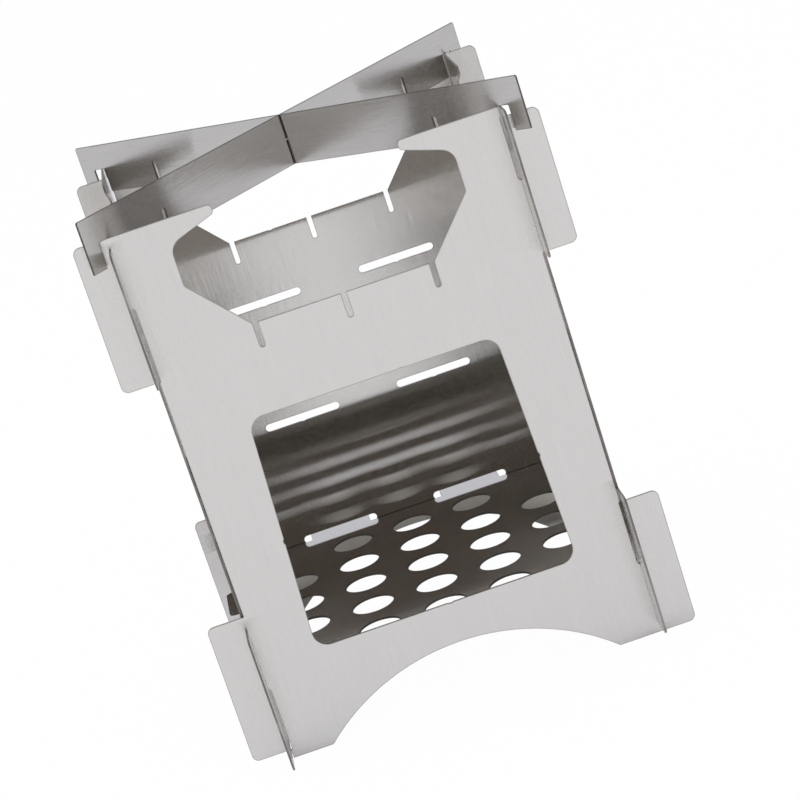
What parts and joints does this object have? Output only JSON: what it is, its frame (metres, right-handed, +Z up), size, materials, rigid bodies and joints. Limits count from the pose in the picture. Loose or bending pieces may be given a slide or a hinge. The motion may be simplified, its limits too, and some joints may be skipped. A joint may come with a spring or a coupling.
{
  "type": "folding wood stove",
  "caption": "Square take-apart wood stove of slotted steel sheet with a perforated grate, a fuel window, open wall tops and crossed bars that carry a pot.",
  "frame": {"origin": "on the ground, at the middle of the square footprint", "axes": "+Z up, -Y towards the side with the fuel window, +X to that viewer's right"},
  "size_m": [0.1368, 0.1368, 0.1721],
  "materials": {
    "panel_steel": "satin rolled stainless sheet, cut edges deburred",
    "grate_steel": "bright rolled stainless sheet",
    "bar_steel": "satin rolled stainless sheet, cut edges deburred"
  },
  "bodies": {
    "shell": {"front_panel": "panel_steel", "right_panel": "panel_steel", "back_panel": "panel_steel", "left_panel": "panel_steel", "grate": "grate_steel"},
    "lower_bar": {"cross_bar_lower": "bar_steel"},
    "upper_bar": {"cross_bar_upper": "bar_steel"}
  },
  "joints": [
    {"name": "lower_bar_lift", "type": "slide", "parent": "shell", "child": "lower_bar", "axis": [0, 0, 1], "range_m": [0, 0.03]},
    {"name": "upper_bar_lift", "type": "slide", "parent": "lower_bar", "child": "upper_bar", "axis": [0, 0, 1], "range_m": [0, 0.025]}
  ]
}
